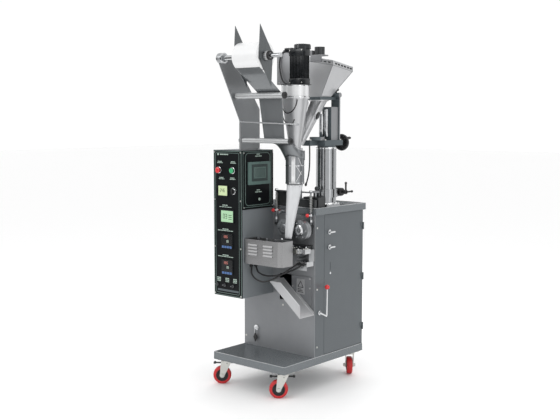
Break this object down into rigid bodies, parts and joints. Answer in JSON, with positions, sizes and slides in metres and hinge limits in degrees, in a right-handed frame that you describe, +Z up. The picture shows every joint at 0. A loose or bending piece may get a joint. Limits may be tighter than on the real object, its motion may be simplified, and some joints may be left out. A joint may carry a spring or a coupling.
{
  "type": "vertical form fill sealer",
  "caption": "Floor-standing packaging machine that forms film from a reel into a tube, fills it by auger from a hopper, and seals and cuts sachets onto a chute.",
  "frame": {"origin": "centre of the footprint on the floor", "axes": "+Z up, -Y to the operator, +X to the side that the chute empties to"},
  "size_m": [0.5693, 0.8244, 1.7362],
  "materials": {
    "cabinet_paint": "satin grey powder coat",
    "fascia_black": "satin black",
    "instruments": "moulded plastic with lit windows",
    "stainless": "brushed",
    "polished_steel": "polished",
    "dark_paint": "dark grey paint",
    "black_motor": "gloss black",
    "roller_plastic": "smooth",
    "reel_metal": "satin",
    "film_white": "wound film",
    "film_grey": "thin laminate film",
    "cable_rubber": "smooth jacket",
    "fastener_zinc": "zinc plated",
    "red_tyre": "matt red",
    "black_plastic": "moulded",
    "red_plastic": "glossy",
    "green_plastic": "glossy"
  },
  "bodies": {
    "frame": {"plinth": "cabinet_paint", "caster_mounts": "fastener_zinc", "cabinet_panels": "cabinet_paint", "front_panel": "cabinet_paint", "lid": "cabinet_paint", "control_box": "cabinet_paint", "control_fascias": "fascia_black", "panel_instruments": "instruments", "film_frame": "stainless", "film_web": "film_grey", "forming_collar": "stainless", "film_tube": "film_white", "seal_housing": "dark_paint", "louver_cover": "stainless", "discharge_chute": "stainless", "gear_housing": "dark_paint", "column": "polished_steel", "drive_unit": "dark_paint", "heater_cables": "cable_rubber", "fasteners": "fastener_zinc"},
    "lift_head": {"lift_post": "dark_paint", "auger_housing": "stainless", "hopper": "stainless", "auger_motor": "black_motor", "stirrer_motor": "black_motor"},
    "auger": {"auger": "stainless"},
    "stirrer": {"stirrer": "stainless"},
    "hand_wheel": {"hand_wheel": "black_motor"},
    "lift_crank": {"lift_crank": "black_motor"},
    "reel": {"film_roll": "film_white", "reel_flanges": "reel_metal"},
    "upper_roller": {"upper_roller": "roller_plastic"},
    "lower_roller": {"lower_roller": "roller_plastic"},
    "left_seal_roller": {"left_seal_roller": "polished_steel"},
    "right_seal_roller": {"right_seal_roller": "polished_steel"},
    "left_cross_seal": {"left_cross_seal": "polished_steel"},
    "right_cross_seal": {"right_cross_seal": "polished_steel"},
    "left_pressure_lever": {"left_pressure_lever": "red_plastic"},
    "right_pressure_lever": {"right_pressure_lever": "red_plastic"},
    "side_door": {"side_door": "cabinet_paint"},
    "upper_latch": {"upper_latch": "polished_steel"},
    "lower_latch": {"lower_latch": "polished_steel"},
    "clutch_lever": {"clutch_lever": "red_plastic"},
    "panel_lock": {"panel_lock": "polished_steel"},
    "caster_front_left": {"caster_fork_front_left": "fastener_zinc"},
    "wheel_front_left": {"caster_wheel_front_left": "red_tyre"},
    "caster_front_right": {"caster_fork_front_right": "fastener_zinc"},
    "wheel_front_right": {"caster_wheel_front_right": "red_tyre"},
    "caster_rear_left": {"caster_fork_rear_left": "fastener_zinc"},
    "wheel_rear_left": {"caster_wheel_rear_left": "red_tyre"},
    "caster_rear_right": {"caster_fork_rear_right": "fastener_zinc"},
    "wheel_rear_right": {"caster_wheel_rear_right": "red_tyre"},
    "pedal_front_left": {"brake_pedal_front_left": "black_plastic"},
    "pedal_front_right": {"brake_pedal_front_right": "black_plastic"},
    "stop_button": {"stop_button": "red_plastic"},
    "start_button": {"start_button": "green_plastic"},
    "selector_knob": {"selector_knob": "black_plastic"},
    "left_toggle": {"left_toggle": "polished_steel"},
    "middle_toggle": {"middle_toggle": "polished_steel"},
    "right_toggle": {"right_toggle": "polished_steel"}
  },
  "joints": [
    {"name": "lift_slide", "type": "slide", "parent": "frame", "child": "lift_head", "axis": [0, 0, 1], "range_m": [0, 0.06]},
    {"name": "lift_crank_turn", "type": "hinge", "parent": "frame", "child": "lift_crank", "pos_m": [0.14916, 0.22384, 0.963], "axis": [1, 0, 0], "range_deg": [0, 1080]},
    {"name": "hand_wheel_turn", "type": "hinge", "parent": "lift_head", "child": "hand_wheel", "pos_m": [0.15916, 0.25384, 1.206], "axis": [0, 1, 0], "continuous": true},
    {"name": "auger_spin", "type": "hinge", "parent": "lift_head", "child": "auger", "pos_m": [0.12016, -0.05716, 1.42], "axis": [0, 0, 1], "continuous": true},
    {"name": "stirrer_spin", "type": "hinge", "parent": "lift_head", "child": "stirrer", "pos_m": [0.12016, 0.12884, 1.428], "axis": [0, 0, 1], "continuous": true},
    {"name": "reel_spin", "type": "hinge", "parent": "frame", "child": "reel", "pos_m": [0.12016, -0.34916, 1.6], "axis": [1, 0, 0], "continuous": true},
    {"name": "upper_roller_spin", "type": "hinge", "parent": "frame", "child": "upper_roller", "pos_m": [0.12016, -0.24816, 1.429], "axis": [1, 0, 0], "continuous": true},
    {"name": "lower_roller_spin", "type": "hinge", "parent": "frame", "child": "lower_roller", "pos_m": [0.12016, -0.20616, 1.221], "axis": [1, 0, 0], "continuous": true},
    {"name": "left_seal_spin", "type": "hinge", "parent": "frame", "child": "left_seal_roller", "pos_m": [0.06336, -0.07016, 0.795], "axis": [0, 1, 0], "continuous": true},
    {"name": "right_seal_spin", "type": "hinge", "parent": "frame", "child": "right_seal_roller", "pos_m": [0.16096, -0.07016, 0.795], "axis": [0, 1, 0], "continuous": true},
    {"name": "left_cross_spin", "type": "hinge", "parent": "frame", "child": "left_cross_seal", "pos_m": [0.06336, -0.07016, 0.6972], "axis": [0, 1, 0], "continuous": true},
    {"name": "right_cross_spin", "type": "hinge", "parent": "frame", "child": "right_cross_seal", "pos_m": [0.16096, -0.07016, 0.6972], "axis": [0, 1, 0], "continuous": true},
    {"name": "left_pressure_turn", "type": "hinge", "parent": "frame", "child": "left_pressure_lever", "pos_m": [-0.03784, -0.00816, 0.876], "axis": [0, 0, 1], "range_deg": [-30, 0]},
    {"name": "right_pressure_turn", "type": "hinge", "parent": "frame", "child": "right_pressure_lever", "pos_m": [0.17816, -0.00816, 0.864], "axis": [0, 0, 1], "range_deg": [0, 30]},
    {"name": "door_swing", "type": "hinge", "parent": "frame", "child": "side_door", "pos_m": [0.19816, 0.39584, 0.171], "axis": [0, 0, 1], "range_deg": [0, 110]},
    {"name": "upper_latch_turn", "type": "hinge", "parent": "side_door", "child": "upper_latch", "pos_m": [0.19416, 0.11484, 0.773], "axis": [1, 0, 0], "range_deg": [0, 90]},
    {"name": "lower_latch_turn", "type": "hinge", "parent": "side_door", "child": "lower_latch", "pos_m": [0.19416, 0.11484, 0.699], "axis": [1, 0, 0], "range_deg": [0, 90]},
    {"name": "clutch_throw", "type": "hinge", "parent": "frame", "child": "clutch_lever", "pos_m": [0.19416, 0.03684, 0.384], "axis": [1, 0, 0], "range_deg": [0, 25]},
    {"name": "lock_turn", "type": "hinge", "parent": "frame", "child": "panel_lock", "pos_m": [-0.18184, 0.00384, 0.261], "axis": [0, 1, 0], "range_deg": [0, 90]},
    {"name": "swivel_front_left", "type": "hinge", "parent": "frame", "child": "caster_front_left", "pos_m": [-0.22384, -0.17216, 0.1175], "axis": [0, 0, 1], "continuous": true},
    {"name": "wheel_front_left", "type": "hinge", "parent": "caster_front_left", "child": "wheel_front_left", "pos_m": [-0.24276, -0.1885, 0.045], "axis": [0.6534, -0.757, 0], "continuous": true},
    {"name": "brake_front_left", "type": "hinge", "parent": "caster_front_left", "child": "pedal_front_left", "pos_m": [-0.22384, -0.17216, 0.106], "axis": [0.6534, -0.757, 0], "range_deg": [0, 5]},
    {"name": "swivel_front_right", "type": "hinge", "parent": "frame", "child": "caster_front_right", "pos_m": [0.15016, -0.17216, 0.1175], "axis": [0, 0, 1], "continuous": true},
    {"name": "wheel_front_right", "type": "hinge", "parent": "caster_front_right", "child": "wheel_front_right", "pos_m": [0.13124, -0.1885, 0.045], "axis": [0.6534, -0.757, 0], "continuous": true},
    {"name": "brake_front_right", "type": "hinge", "parent": "caster_front_right", "child": "pedal_front_right", "pos_m": [0.15016, -0.17216, 0.106], "axis": [0.6534, -0.757, 0], "range_deg": [0, 5]},
    {"name": "swivel_rear_left", "type": "hinge", "parent": "frame", "child": "caster_rear_left", "pos_m": [-0.22384, 0.35184, 0.1175], "axis": [0, 0, 1], "continuous": true},
    {"name": "wheel_rear_left", "type": "hinge", "parent": "caster_rear_left", "child": "wheel_rear_left", "pos_m": [-0.24017, 0.37076, 0.045], "axis": [-0.757, -0.6534, 0], "continuous": true},
    {"name": "swivel_rear_right", "type": "hinge", "parent": "frame", "child": "caster_rear_right", "pos_m": [0.15016, 0.35184, 0.1175], "axis": [0, 0, 1], "continuous": true},
    {"name": "wheel_rear_right", "type": "hinge", "parent": "caster_rear_right", "child": "wheel_rear_right", "pos_m": [0.13383, 0.37076, 0.045], "axis": [-0.757, -0.6534, 0], "continuous": true},
    {"name": "stop_press", "type": "slide", "parent": "frame", "child": "stop_button", "axis": [0, 1, 0], "range_m": [0, 0.005], "stiffness_N_per_m": 400, "springref_m": -0.002},
    {"name": "start_press", "type": "slide", "parent": "frame", "child": "start_button", "axis": [0, 1, 0], "range_m": [0, 0.005], "stiffness_N_per_m": 400, "springref_m": -0.002},
    {"name": "selector_turn", "type": "hinge", "parent": "frame", "child": "selector_knob", "pos_m": [-0.12584, -0.22216, 0.974], "axis": [0, 1, 0], "range_deg": [-45, 45]},
    {"name": "left_toggle_flip", "type": "hinge", "parent": "frame", "child": "left_toggle", "pos_m": [-0.23784, -0.22216, 0.511], "axis": [1, 0, 0], "range_deg": [-15, 15]},
    {"name": "middle_toggle_flip", "type": "hinge", "parent": "frame", "child": "middle_toggle", "pos_m": [-0.18784, -0.22216, 0.511], "axis": [1, 0, 0], "range_deg": [-15, 15]},
    {"name": "right_toggle_flip", "type": "hinge", "parent": "frame", "child": "right_toggle", "pos_m": [-0.13284, -0.22216, 0.511], "axis": [1, 0, 0], "range_deg": [-15, 15]}
  ],
  "couplings": [
    {"joint": "lift_crank_turn", "follows": "lift_slide", "rad_per_m": 314.16},
    {"joint": "right_seal_spin", "follows": "left_seal_spin", "ratio": -1},
    {"joint": "left_cross_spin", "follows": "left_seal_spin", "ratio": 1},
    {"joint": "right_cross_spin", "follows": "left_seal_spin", "ratio": -1}
  ]
}
